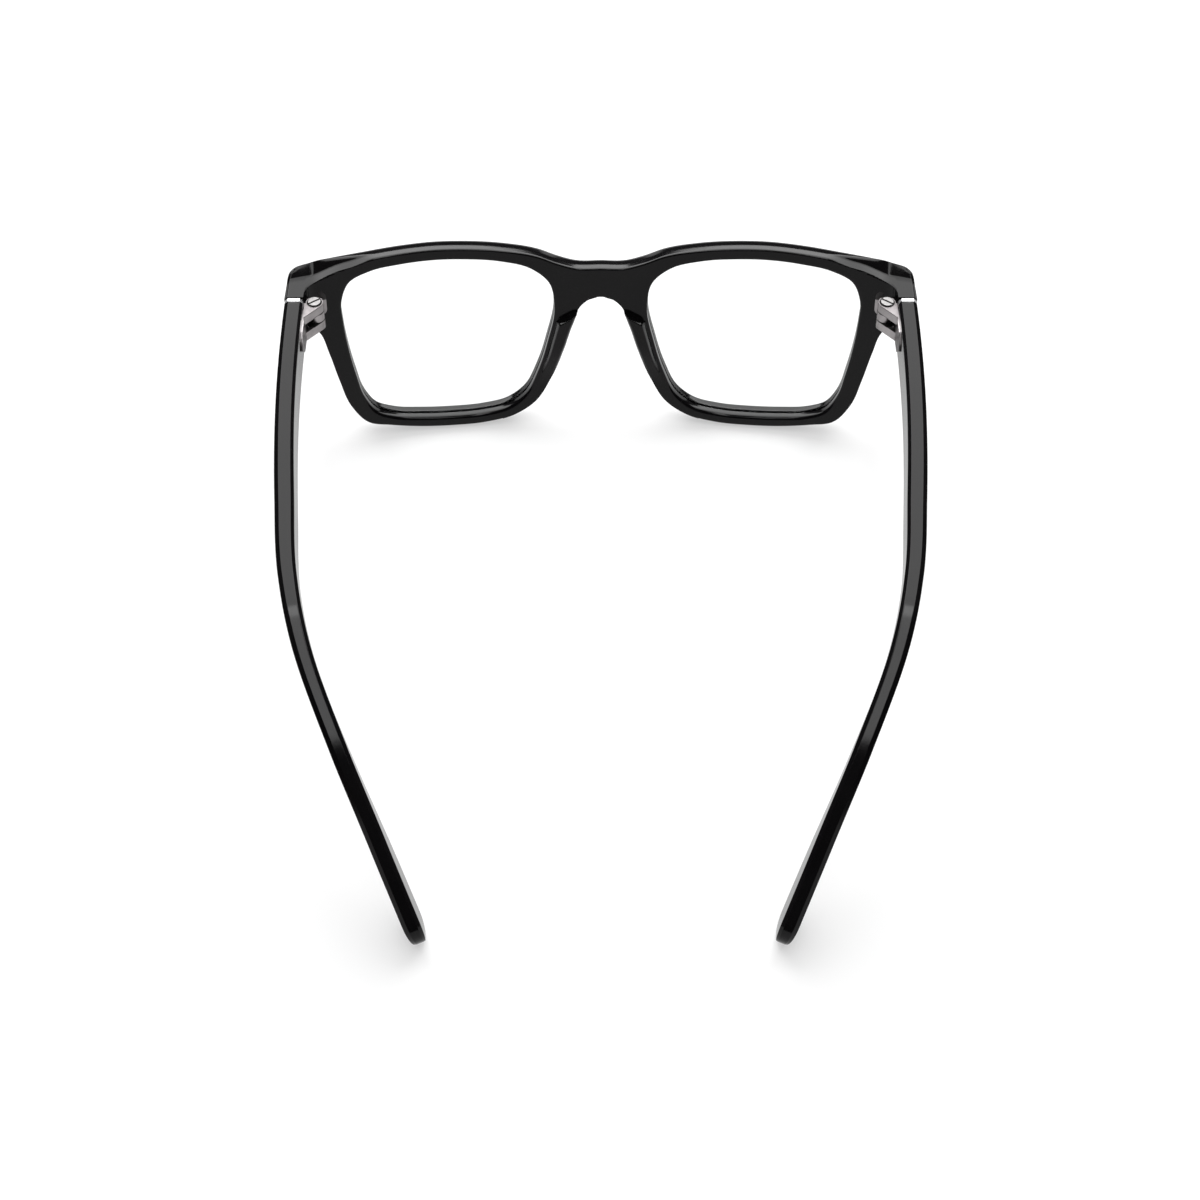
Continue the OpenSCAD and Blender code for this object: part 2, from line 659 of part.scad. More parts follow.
// Plan of a temple knuckle's arm: from the barrel back to the leaf on the temple
arm_back = 4.9;
arm_gap = 0.1;
arm_to = [tab_x - 0.3, pin_y + arm_back];
arm_away = norm(arm_to - [pin_x, pin_y]);
arm_angle = atan2(arm_to[1] - pin_y, arm_to[0] - pin_x) + acos(barrel_d / 2 / arm_away);
module temple_arm() {
    polygon([
        [pin_x, pin_y], [tab_x - 4 * arm_gap, joint_y + joint_gap], [tab_x - arm_gap, joint_y + joint_gap],
        [tab_x - arm_gap, temple_y], arm_to,
        [pin_x + barrel_d / 2 * cos(arm_angle), pin_y + barrel_d / 2 * sin(arm_angle)]
    ]);
}
module temple_hinge() {
    difference() {
        union() {
            on_temple_leaf() leaf_block(leaf_t - leaf_sunk, leaf_sunk, 0);
            for (low = [barrel_low, barrel_low + 2 * knuckle_step]) {
                barrel(low, low + knuckle_h);
                translate([0, 0, low]) linear_extrude(height = knuckle_h) temple_arm();
            }
        }
        pin_bore();
        translate([pin_x, pin_y, barrel_top - head_h - 0.05])
            cylinder(d = head_d + 2 * pin_clear, h = head_h + 1);
        on_temple_leaf() temple_rivet_holes(0);
    }
}
slot_w = 0.45;
slot_deep = 0.35;
module hinge_screw() {
    difference() {
        translate([pin_x, pin_y, barrel_low + 0.1]) union() {
            cylinder(d = screw_d, h = barrel_top - barrel_low - 0.2);
            translate([0, 0, barrel_top - barrel_low - 0.1 - head_h]) cylinder(d = head_d, h = head_h);
        }
        translate([pin_x - head_d, pin_y - slot_w / 2, barrel_top - slot_deep])
            cube([2 * head_d, slot_w, 1]);
    }
}
module front_rivets() {
    leaning() on_front_leaf() for (z = [-1, 1]) translate([front_rivet_x, 0, z * front_rivet_z])
        rotate([90, 0, 0]) cylinder(d = rivet_d - 2 * rivet_clear, h = leaf_t + rivet_l - 0.1);
}
rivet_clear = 0.01;
module temple_rivets() {
    on_temple_leaf() for (y = TEMPLE_RIVETS_Y) translate([leaf_sunk - leaf_t, y, temple_rivet_z])
        rotate([0, 90, 0]) cylinder(d = rivet_d - 2 * rivet_clear, h = leaf_t + temple_rivet_l - 0.1);
}

module left_lens() { color([0.85, 0.9, 0.92, 0.35]) placed() mirrored(1) lens(); }
module right_lens() { color([0.85, 0.9, 0.92, 0.35]) placed() mirrored(-1) lens(); }
module left_nose_pad() { color([0.12, 0.115, 0.12]) placed() mirrored(1) nose_pad(); }
module right_nose_pad() { color([0.12, 0.115, 0.12]) placed() mirrored(-1) nose_pad(); }
module left_front_hinge() { color([0.75, 0.74, 0.76]) placed() mirrored(1) front_hinge(); }
module right_front_hinge() { color([0.75, 0.74, 0.76]) placed() mirrored(-1) front_hinge(); }
module left_front_rivets() { color([0.6, 0.6, 0.62]) placed() mirrored(1) front_rivets(); }
module right_front_rivets() { color([0.6, 0.6, 0.62]) placed() mirrored(-1) front_rivets(); }
module left_temple() { color([0.1, 0.095, 0.1]) placed() mirrored(1) temple(); }
module right_temple() { color([0.1, 0.095, 0.1]) placed() mirrored(-1) temple(); }
module left_end_plate() { color([0.88, 0.88, 0.9]) placed() mirrored(1) end_plate(); }
module right_end_plate() { color([0.88, 0.88, 0.9]) placed() mirrored(-1) end_plate(); }
module left_temple_hinge() { color([0.72, 0.71, 0.74]) placed() mirrored(1) temple_hinge(); }
module right_temple_hinge() { color([0.72, 0.71, 0.74]) placed() mirrored(-1) temple_hinge(); }
module left_temple_rivets() { color([0.6, 0.6, 0.62]) placed() mirrored(1) temple_rivets(); }
module right_temple_rivets() { color([0.6, 0.6, 0.62]) placed() mirrored(-1) temple_rivets(); }
module left_hinge_screw() { color([0.8, 0.79, 0.82]) placed() mirrored(1) hinge_screw(); }
module right_hinge_screw() { color([0.8, 0.79, 0.82]) placed() mirrored(-1) hinge_screw(); }
module left_core_wire() { color([0.55, 0.55, 0.58]) placed() mirrored(1) core_wire(); }
module right_core_wire() { color([0.55, 0.55, 0.58]) placed() mirrored(-1) core_wire(); }

front_frame();
left_lens();
right_lens();
left_nose_pad();
right_nose_pad();
left_front_hinge();
right_front_hinge();
left_front_rivets();
right_front_rivets();
left_temple();
right_temple();
left_end_plate();
right_end_plate();
left_temple_hinge();
right_temple_hinge();
left_temple_rivets();
right_temple_rivets();
left_hinge_screw();
right_hinge_screw();
left_core_wire();
right_core_wire();
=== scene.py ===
# Rectangular acetate eyeglasses standing open on a table: the looks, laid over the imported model.
# The camera, lights and table are in metres, and the pieces' own shapes in millimetres. The front and the
# temples are worked out here from the same lines as the solids have, with the soft edges of polishing.
import json
import math
import bmesh
import bpy
import numpy as np
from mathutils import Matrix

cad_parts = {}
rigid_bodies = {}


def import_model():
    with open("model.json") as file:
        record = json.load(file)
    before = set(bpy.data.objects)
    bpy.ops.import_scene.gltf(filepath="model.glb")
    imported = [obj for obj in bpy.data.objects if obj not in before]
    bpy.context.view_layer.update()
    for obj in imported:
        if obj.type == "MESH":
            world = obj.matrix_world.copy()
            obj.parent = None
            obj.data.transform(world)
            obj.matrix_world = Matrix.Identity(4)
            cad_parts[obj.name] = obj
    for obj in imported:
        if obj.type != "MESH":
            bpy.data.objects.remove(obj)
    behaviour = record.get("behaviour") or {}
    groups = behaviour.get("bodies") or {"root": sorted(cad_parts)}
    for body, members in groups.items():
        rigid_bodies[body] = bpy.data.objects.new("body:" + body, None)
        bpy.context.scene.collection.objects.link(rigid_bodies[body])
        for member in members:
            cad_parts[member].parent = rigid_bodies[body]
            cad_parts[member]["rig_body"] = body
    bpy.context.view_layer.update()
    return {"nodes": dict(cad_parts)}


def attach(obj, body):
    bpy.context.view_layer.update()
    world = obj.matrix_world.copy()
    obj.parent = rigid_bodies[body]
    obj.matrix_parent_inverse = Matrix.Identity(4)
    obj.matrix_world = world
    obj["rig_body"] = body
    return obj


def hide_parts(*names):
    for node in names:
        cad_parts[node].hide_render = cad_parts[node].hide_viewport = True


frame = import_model()


# Camera. It stands behind the glasses and above the table, and looks down past the tips at the back of
# the front. The picture is 1200 pixels wide, and its middle lies a little beside the glasses' own.
picture_width = 1200
shift_pixels = -0.76
camera_behind, camera_above = 0.27029, 0.33770
camera_dips = math.radians(50.348)
camera = bpy.data.objects.new("camera", bpy.data.cameras.new("camera"))
bpy.context.scene.collection.objects.link(camera)
camera.location = (0, camera_behind, camera_above)
camera.rotation_euler = (math.pi / 2 - camera_dips, 0, math.pi)
camera.data.sensor_width = 36
camera.data.lens = 61.10
camera.data.shift_x = shift_pixels / picture_width
camera.data.clip_start = 0.01
camera.data.clip_end = 60
bpy.context.scene.camera = camera


# Table and light. A plain white tabletop under a soft white room, with a broad soft panel beyond the
# front and a narrow one above each temple, as in a small product studio.
class Wire:
    """A number, colour or vector in a material, written as an expression.

    + - * / and ** add a Math node each, and maths() any other kind of one. node() adds any other node:
    its type, its settings, which are made first, then the values or wires of its sockets, and gives
    back the named output."""

    def __init__(self, tree, socket=None):
        self.tree, self.socket = tree, socket

    def node(self, kind, settings=None, sockets=None, out=0):
        made = self.tree.nodes.new(kind)
        for key, value in (settings or {}).items():
            if key == "stops":
                for stop, (place, colour) in zip(made.color_ramp.elements, value):
                    stop.position, stop.color = place, (*colour, 1)
            else:
                setattr(made, key, value)
        for key, value in (sockets or {}).items():
            self.feed(value, made.inputs[key])
        return Wire(self.tree, made.outputs[out] if made.outputs else None)

    def feed(self, value, socket):
        if isinstance(value, Wire):
            self.tree.links.new(value.socket, socket)
        elif isinstance(value, tuple) and socket.type == "RGBA":
            socket.default_value = (*value, 1)
        else:
            socket.default_value = value

    def maths(self, kind, a, b):
        return self.node("ShaderNodeMath", {"operation": kind}, {0: a, 1: b})

    def __add__(self, other):
        return self.maths("ADD", self, other)

    def __radd__(self, other):
        return self.maths("ADD", other, self)

    def __sub__(self, other):
        return self.maths("SUBTRACT", self, other)

    def __rsub__(self, other):
        return self.maths("SUBTRACT", other, self)

    def __mul__(self, other):
        return self.maths("MULTIPLY", self, other)

    def __rmul__(self, other):
        return self.maths("MULTIPLY", other, self)

    def __truediv__(self, other):
        return self.maths("DIVIDE", self, other)

    def __pow__(self, other):
        return self.maths("POWER", self, other)


def finish(name):
    """An empty material of this name, and a wire to write its nodes with."""
    material = bpy.data.materials.new(name)
    material.use_nodes = True
    material.node_tree.nodes.clear()
    return material, Wire(material.node_tree)


def surface(wire, shader):
    """Makes this shader the material's surface."""
    wire.node("ShaderNodeOutputMaterial", None, {"Surface": shader})


def grain(wire, scale, detail=3.0, roughness=0.5):
    """Noise in the piece's own coordinates, scale waves to the metre. Three scales, one for each
    direction, draw it out into streaks."""
    spots = wire.node("ShaderNodeTexCoord", out="Object")
    if isinstance(scale, tuple):
        spots = wire.node("ShaderNodeMapping", None, {"Vector": spots, "Scale": scale})
        scale = 1.0
    return wire.node("ShaderNodeTexNoise", None, {
        "Vector": spots, "Scale": scale, "Detail": detail, "Roughness": roughness})


def blend(wire, share, dark, light, light_from=0.7):
    """A colour that is dark where share is under 0.3, light above light_from, and even between."""
    return wire.node("ShaderNodeValToRGB", {"stops": [(0.3, dark), (light_from, light)]}, {"Fac": share})


def seen_white(wire):
    """1 for a ray that comes from the camera, a gloss or a clear lens, else 0."""
    camera_ray, gloss_ray, lens_ray = (
        wire.node("ShaderNodeLightPath", out=kind)
        for kind in ("Is Camera Ray", "Is Glossy Ray", "Is Transmission Ray"))
    return wire.maths("MINIMUM", camera_ray + gloss_ray + lens_ray, 1.0)


table_half = 4.0
fade_from, fade_over = 0.25, 0.9
table_mesh = bpy.data.meshes.new("table")
corners = [(-table_half, -table_half, 0), (table_half, -table_half, 0), (table_half, table_half, 0),
           (-table_half, table_half, 0)]
table_mesh.from_pydata(corners, [], [(0, 1, 2, 3)])
table = bpy.data.objects.new("table", table_mesh)
bpy.context.scene.collection.objects.link(table)
table_white, w = finish("table_white")
table_tone = blend(w, grain(w, 9.0), (0.90, 0.90, 0.90), (0.93, 0.93, 0.93))
matt = w.node("ShaderNodeBsdfDiffuse", None, {"Color": table_tone})
glossy = w.node("ShaderNodeLightPath", out="Is Glossy Ray")
plain = w.node("ShaderNodeEmission", None, {"Color": (1.0, 1.0, 1.0), "Strength": 1.0 - 0.2 * glossy})
# The camera sees half matt table and half plain white, and far out, where no light reaches, the white
# alone. A gloss sees the white alone everywhere, a fifth darker.
from_middle = w.node("ShaderNodeVectorMath", {"operation": "LENGTH"}, {
    0: w.node("ShaderNodeTexCoord", out="Object")}, "Value")
fade = w.maths("MINIMUM", w.maths("MAXIMUM", (from_middle - fade_from) / fade_over, 0.0), 1.0)
plain_share = 0.5 + 0.5 * w.maths("MAXIMUM", fade, glossy)
surface(w, w.node("ShaderNodeMixShader", None, {0: seen_white(w) * plain_share, 1: matt, 2: plain}))
table_mesh.materials.append(table_white)

room_light = 0.25
room = bpy.data.worlds.new("room")
bpy.context.scene.world = room
room.use_nodes = True
room.node_tree.nodes.clear()
w = Wire(room.node_tree)
glow = w.node("ShaderNodeBackground", None, {
    "Color": (1.0, 1.0, 1.0), "Strength": room_light + (1 - room_light) * seen_white(w)})
w.node("ShaderNodeOutputWorld", None, {"Surface": glow})
bpy.context.scene.view_settings.view_transform = "Standard"


def panel(name, place, aim, size, brightness):
    """A soft light panel at a place, turned to face aim. Its power is brightness times pi times its area."""
    lamp = bpy.data.lights.new(name, "AREA")
    lamp.shape = "RECTANGLE"
    lamp.size, lamp.size_y = size
    lamp.energy = brightness * math.pi * size[0] * size[1]
    spot = bpy.data.objects.new(name, lamp)
    bpy.context.scene.collection.objects.link(spot)
    gap = np.array(place) - np.array(aim)
    spot.location = place
    spot.rotation_euler = (math.atan2(math.hypot(gap[0], gap[1]), gap[2]), 0, math.atan2(gap[0], -gap[1]))
    spot.visible_camera = False


panel("far_panel", (0.0, -0.64, 0.58), (0, -0.06, 0.03), (1.42, 0.94), 3.9)
for side, name in ((1, "left_panel"), (-1, "right_panel")):
    panel(name, (side * 0.145, -0.04, 0.84), (side * 0.165, -0.14, 0), (0.10, 0.84), 5.0)

# A dark tent round it all, which only reflections see. It draws the deep blacks on glossy acetate.
tent_radius, tent_turns, tent_rises = 3.0, 72, 18
dark_cloth, w = finish("dark_cloth")
cloth_tone = blend(w, grain(w, 2.0, 2.0), (0.015, 0.015, 0.016), (0.03, 0.03, 0.032))
surface(w, w.node("ShaderNodeBsdfDiffuse", None, {"Color": cloth_tone}))
turn, rise = np.meshgrid(np.linspace(0, 2 * np.pi, tent_turns, endpoint=False),
                         np.linspace(0, np.pi / 2, tent_rises, endpoint=False), indexing="ij")
tent_points = np.stack([np.cos(turn) * np.cos(rise), np.sin(turn) * np.cos(rise), np.sin(rise)], -1)
around, upward = np.meshgrid(np.arange(tent_turns), np.arange(tent_rises - 1), indexing="ij")
this, following = around * tent_rises + upward, (around + 1) % tent_turns * tent_rises + upward
tent_walls = np.stack([this, this + 1, following + 1, following], -1).reshape(-1, 4).tolist()
tent_roof = list(range(tent_rises - 1, tent_turns * tent_rises, tent_rises))
tent_mesh = bpy.data.meshes.new("tent")
tent_mesh.from_pydata(tent_radius * tent_points.reshape(-1, 3), [], tent_walls + [tent_roof])
tent_mesh.materials.append(dark_cloth)
tent = bpy.data.objects.new("tent", tent_mesh)
bpy.context.scene.collection.objects.link(tent)
tent.visible_camera = tent.visible_diffuse = tent.visible_transmission = tent.visible_shadow = False


# Front. One milled sheet of black acetate, curved round the face, with the bridge and the endpieces
# left on it. Tumbling softens every edge: the back edges most, the grooves for the lenses least.
MM = 0.001
front_deep = 4.98
wrap = 300.0
lean = math.radians(13)
half_width = 68.55
bridge_top, bridge_under = 39.5, 32.4
# The lift stands the lower rims on the table, and middle_y puts the middle of the pair over its centre
front_lift = 0.443994
middle_y = 63.1138
# The plane where a temple closes on the front, the height of the temple's top there, the round between
# the back and the endpiece's inner side, where that side stands, and the hinge's pin
joint_y = 2.1
joint_high = 40.488
fillet, fillet_at = 4.0, 60.35
tab_at = fillet_at + fillet
pin_x, pin_y = 62.1, 1.9
# Over this much of the sheet's depth, from the back, the outer walls stay square and level
level_deep = 2.1


def place_on(knots, s):
    """Points at the places s, counted in knots, of the closed line through the knots.

    Between two knots it is a cubic. Its direction at a knot is the mean of the two spans that meet
    there, weighted by the nearer one."""
    def knot(k):
        return knots[np.mod(k, len(knots))]

    def span(k):
        return np.linalg.norm(knot(k + 1) - knot(k), axis=-1, keepdims=True)

    def way(k):
        before, after = span(k - 1), span(k)
        coming, going = (knot(k) - knot(k - 1)) / before, (knot(k + 1) - knot(k)) / after
        return (coming * after + going * before) / (before + after)

    k = np.floor(s).astype(int)
    t = (s - k)[..., None]
    h = span(k)
    return (knot(k) * (1 - 3 * t**2 + 2 * t**3) + way(k) * h * (t - 2 * t**2 + t**3)
            + knot(k + 1) * (3 * t**2 - 2 * t**3) + way(k + 1) * h * (t**3 - t**2))


def outward(knots, s):
    """Unit normals of that line: its direction turned a quarter turn to the left."""
    step = 0.002
    way = place_on(knots, s + step) - place_on(knots, s - step)
    way /= np.linalg.norm(way, axis=-1, keepdims=True)
    return np.stack([-way[..., 1], way[..., 0]], -1)


def ease(t):
    """0 below 0 and 1 above 1, with the cubic t * t * (3 - 2 * t) between."""
    t = np.clip(t, 0, 1)
    return t * t * (3 - 2 * t)


# The left lens opening: its shape in a square from -1, by the nose, to 1, its middle and its half sizes
lens_shape = np.array([
    (-1.00, 0.379), (-0.953, 0.672), (-0.78, 0.852), (-0.508, 0.946), (-0.161, 0.991), (0.1, 1.0),
    (0.436, 0.972), (0.716, 0.914), (0.912, 0.797), (0.99, 0.591), (0.99, 0.288), (0.964, -0.015),
    (0.913, -0.36), (0.843, -0.679), (0.738, -0.864), (0.583, -0.943), (0.307, -0.987), (0.01, -1.0),
    (-0.292, -0.981), (-0.535, -0.911), (-0.704, -0.754), (-0.827, -0.462), (-0.927, -0.086)])
lens_middle, lens_reach = np.array([33.7, 22.5]), np.array([23.35, 20.1])
lens_knots = lens_middle + lens_shape * lens_reach


def beside_lens(knot, gap):
    """A point of the front's outline: gap outside a knot of the lens opening."""
    return lens_knots[knot] + outward(lens_knots, np.array([float(knot)]))[0] * gap


top_gaps = {2: 3.4, 3: 2.7, 4: 2.6, 5: 2.6, 6: 2.7, 7: 3.2}
low_gaps = {11: 4.4, 12: 3.95, 13: 3.7, 14: 3.4, 15: 2.4, 16: 2.4, 17: 2.4, 18: 2.4, 19: 2.4,
            20: 2.85, 21: 3.4, 22: 3.9}
half_knots = np.array(
    [(0, bridge_top), (5.382, 39.55), (9.315, 40.7)] + [beside_lens(k, g) for k, g in top_gaps.items()]
    + [(60.55, 42.8), (64.35, 42.15), (66.95, 41.4), (68.2, 40.2), (68.55, 38.2), (68.55, 31.786),
       (67.95, 30.086), (66.35, 29.386), (64.75, 29.286), (63.35, 28.686), (62.25, 27.186)]
    + [beside_lens(k, g) for k, g in low_gaps.items()]
    + [(6.169, 26.3), (4.43, 30.2), (2.277, 31.95), (0, bridge_under)])
front_knots = np.concatenate([half_knots, half_knots[-2:0:-1] * [-1, 1]])
# Which place of the lens opening lies across from each knot of the outline
across_at = [1.3, 1.5, 1.75, 2, 3, 4, 5, 6, 7, 7.6, 8.05, 8.3, 8.5, 8.9, 10, 10.25, 10.4, 10.5, 10.65, 10.8,
             11, 12, 13, 14, 15, 16, 17, 18, 19, 20, 21, 22, 22.4, 22.7, 22.85, 23]


def across(s):
    """The place of the lens opening that lies across from the place s of the outline."""
    return np.interp(s, np.arange(len(across_at)), across_at)


def square(x):
    """How far a wall at x stands square to the curved sheet: 1 over the lenses, 0 at the endpieces."""
    return 1 - ease((np.abs(x) - fillet_at) / fillet)


def back_soft(x):
    """Radius of the outline's back edge at x: 0.35 over the lenses, easing to 0.15 at the endpieces."""
    return 0.35 - 0.2 * ease((x - 59) / 5)


def in_sheet(x, deep):
    """Depth coordinate of the curved sheet at x, deep in from its back face: a circle round the head."""
    return wrap - np.sqrt((wrap + deep) ** 2 - x**2)


def joint_plane(z):
    """Depth coordinate of the joint's upright plane at the height z of the front's own frame."""
    return (joint_y + z * math.sin(lean)) / math.cos(lean)


def set_down(points):
    """From the front's own upright frame, in mm, to the table's: leaned back, lifted and centred."""
    x, y, z = points[..., 0], points[..., 1], points[..., 2]
    return np.stack([x, y * math.cos(lean) - z * math.sin(lean) - middle_y,
                     y * math.sin(lean) + z * math.cos(lean) + front_lift], -1)


def skin(name, grids, paint, crease=40, closed=(True, True)):
    """One closed mesh from grids of points in mm. Each grid's rows and columns are neighbours, and wrap
    round as closed says. Faces on the plane x = 0 are left out, points that meet are made one, open
    ends are filled, and every face is turned outward."""
    points, faces, start = [], [], 0
    for grid in grids:
        u, v = grid.shape[:2]
        i, j = np.meshgrid(np.arange(u if closed[0] else u - 1), np.arange(v if closed[1] else v - 1),
                           indexing="ij")
        a, b = i % u * v, (i + 1) % u * v
        c, d = j % v, (j + 1) % v
        four = np.stack([a + c, a + d, b + d, b + c], -1).reshape(-1, 4)
        flat = grid.reshape(-1, 3)
        on_middle = (np.abs(flat[four][..., 0]) < 1e-7).all(1)
        points.append(flat)
        faces.append(four[~on_middle] + start)
        start += len(flat)
    mesh = bpy.data.meshes.new(name)
    mesh.from_pydata(np.concatenate(points) * MM, [], np.concatenate(faces).tolist())
    shell = bmesh.new()
    shell.from_mesh(mesh)
    bmesh.ops.remove_doubles(shell, verts=shell.verts, dist=0.002 * MM)
    bmesh.ops.dissolve_degenerate(shell, edges=shell.edges, dist=0.0001 * MM)
    ends = [e for e in shell.edges if e.is_boundary]
    if ends:
        bmesh.ops.holes_fill(shell, edges=ends)
    bmesh.ops.recalc_face_normals(shell, faces=shell.faces)
    if shell.calc_volume(signed=True) < 0:
        bmesh.ops.reverse_faces(shell, faces=shell.faces)
    shell.to_mesh(mesh)
    shell.free()
    mesh.shade_smooth()
    mesh.set_sharp_from_angle(angle=math.radians(crease))
    mesh.materials.append(paint)
    piece = bpy.data.objects.new(name, mesh)
    bpy.context.scene.collection.objects.link(piece)
    return piece


def sections():
    """Where the sections across the front's left half stand: each one's point on the outline with the
    way out there, then its place, point and way out on the lens opening. They go round the outline from
    the top of the bridge to its underside, and back up the middle of the bridge."""
    spans, steps, seam_steps = len(half_knots) - 1, 6, 10
    s = np.arange(spans * steps + 1) / steps
    # One section more stands wherever the back edge crosses the endpiece's inner side
    inset_x = place_on(front_knots, s)[:, 0]
    inset_x = inset_x - outward(front_knots, s)[:, 0] * back_soft(inset_x)
    for i in np.flatnonzero(np.diff(np.sign(inset_x - tab_at))):
        t = (tab_at - inset_x[i]) / (inset_x[i + 1] - inset_x[i])
        s = np.append(s, s[i] + t * (s[i + 1] - s[i]))
    s = np.sort(s)
    out, out_way = place_on(front_knots, s), outward(front_knots, s)
    out[:, 0] = np.minimum(out[:, 0], half_width)
    out[[0, -1], 0] = 0
    out_way[[0, -1]] = [(0, 1), (0, -1)]
    seam = np.linspace(bridge_under, bridge_top, seam_steps)[1:-1]
    seam_lens = np.linspace(across_at[-1], len(lens_knots) + across_at[0], seam_steps)[1:-1]
    out = np.concatenate([out, np.stack([0 * seam, seam], -1)])
    out_way = np.concatenate([out_way, np.zeros((len(seam), 2))])
    s_lens = np.concatenate([across(s), seam_lens])
    return out, out_way, s_lens, place_on(lens_knots, s_lens), outward(lens_knots, s_lens)


def laid(flat, deep):
    """A column of points of the sheet, at flat (x, z) on its back face and this depth."""
    x = flat[:, 0] * (1 + deep / wrap * square(flat[:, 0]))
    return np.stack([x, in_sheet(x, deep), flat[:, 1]], -1)


def opening_round(lens, lens_way, radius):
    """Columns of the round at the opening's back edge, a quarter of a circle of this radius."""
    return [laid(lens + lens_way * (radius * (1 - math.cos(a)))[:, None], radius * (1 - math.sin(a)))
            for a in np.linspace(0, math.pi / 2, 7)]


def back_face(start, stop):
    """Columns of the back, from start beside the opening to stop beside the outline, and its depth in
    the sheet at the stop. Seen from above it follows the sheet up to from_x, the fillet round its hub
    up to tab_at, the endpiece's inner side and the plane of the joint. Seen from behind each section is
    straight. One that ends sooner repeats its last point."""
    reach = stop[:, 0]
    hub_y = wrap - math.sqrt((wrap - fillet) ** 2 - fillet_at**2)
    from_x = fillet_at * wrap / (wrap - fillet)
    close = 1e-6

    def back_y(x):
        bend = np.sqrt(fillet**2 - np.clip(x - fillet_at, 0, fillet) ** 2)
        y = np.where(x > from_x, hub_y - bend, in_sheet(x, 0))
        return np.where(x > tab_at - close, joint_plane(stop[:, 1]), y)

    def depth(x):
        return np.sqrt(x**2 + (wrap - back_y(x)) ** 2) - wrap

    end_x = reach
    for _ in range(5):
        end_x = np.where(reach > from_x, reach * (1 + depth(end_x) / wrap * square(reach)), reach)
    end_x = np.where(np.abs(reach - tab_at) < 0.003, tab_at, end_x)
    deep_end = np.where(reach > from_x, depth(end_x), 0)
    passes, through = end_x > from_x, end_x > tab_at - 1e-4
    end = np.stack([end_x, np.where(passes, back_y(end_x), in_sheet(end_x, 0)), stop[:, 1]], -1)

    def along(x):
        """Height at x, on the straight line from start to stop."""
        width = end_x - start[:, 0]
        t = (x - start[:, 0]) / np.where(np.abs(width) < close, close, width)
        return start[:, 1] + (stop[:, 1] - start[:, 1]) * np.clip(t, 0, 1)

    def column(reaches, x, y, other=end):
        """Points at x and y for the sections that reach this far, and other points for the rest."""
        return np.where(reaches[:, None], np.stack([x, y, along(x)], -1), other)

    rows = []
    for t in np.linspace(0, 1, 9)[1:]:
        x = start[:, 0] + (from_x - start[:, 0]) * t
        flat = start + (stop - start) * t
        short = np.stack([flat[:, 0], in_sheet(flat[:, 0], 0), flat[:, 1]], -1)
        rows.append(column(passes, x, in_sheet(x, 0), short))
    turn_from = math.atan2(hub_y - wrap, fillet_at)
    turn_to = np.where(end_x >= tab_at - close, 0, -np.arccos(np.clip((end_x - fillet_at) / fillet, 0, 1)))
    for t in np.linspace(0, 1, 11)[1:]:
        a = turn_from + (turn_to - turn_from) * t
        rows.append(column(passes, fillet_at + fillet * np.cos(a), hub_y + fillet * np.sin(a)))
    # The side and the plane meet over a bevel of this size
    edge = 0.15
    side_x = np.full_like(end_x, tab_at)
    side_end = joint_plane(along(side_x)) - edge
    for t in np.linspace(0, 1, 7)[1:]:
        rows.append(column(through, side_x, hub_y + (side_end - hub_y) * t))
    for t in np.linspace(0, 1, 6):
        x = np.maximum(tab_at + edge, tab_at + edge + (end_x - tab_at - edge) * t)
        x = np.minimum(x, np.maximum(end_x, tab_at))
        rows.append(column(through, x, joint_plane(along(x))))
    return rows, deep_end


def outer_wall(out, out_way, soft, deep_end):
    """Columns of the outer wall, from its soft back edge to the bevel of the face, and the outline that
    is left to the face. Over the rims the wall's front part leans a little forward, as hand polishing
    leaves it. The bevel is 0.6 of a quarter circle and 0.4 of a straight one."""
    crown = math.tan(math.radians(4.5)) * (1 - ease((out[:, 0] - 58) / 4))
    crown_soft, bevel_wide = 0.2, 0.5
    bevel_deep = np.interp(out[:, 0], [55, 62], [0.5, 0.6])
    near, far = deep_end + soft, front_deep - bevel_deep
    rows = [laid(out - out_way * (soft * (1 - math.sin(a)))[:, None], deep_end + soft * (1 - math.cos(a)))
            for a in np.linspace(0, math.pi / 2, 5)[1:]]
    # t goes to 1 over the square part and to 2 over the leaning part
    for t in (0.25, 0.5, 0.75, 1.0, 1.1, 1.25, 1.45, 1.7, 2.0):
        deep = near + (level_deep - near) * min(t, 1) + (far - level_deep) * max(t - 1, 0)
        past = np.clip(deep - level_deep, 0, None)
        sink = crown * (past - crown_soft * (1 - np.exp(-past / crown_soft)))
        rows.append(laid(out - out_way * sink[:, None], deep))
    for a in np.linspace(0, math.pi / 2, 6)[1:]:
        straight = 0.4 * (2 * a / math.pi)
        inward, forward = 0.6 * (1 - math.cos(a)) + straight, 0.6 * math.sin(a) + straight
        rows.append(laid(out - out_way * (sink + bevel_wide * inward)[:, None], far + bevel_deep * forward))
    return rows, out - out_way * (sink + bevel_wide)[:, None]


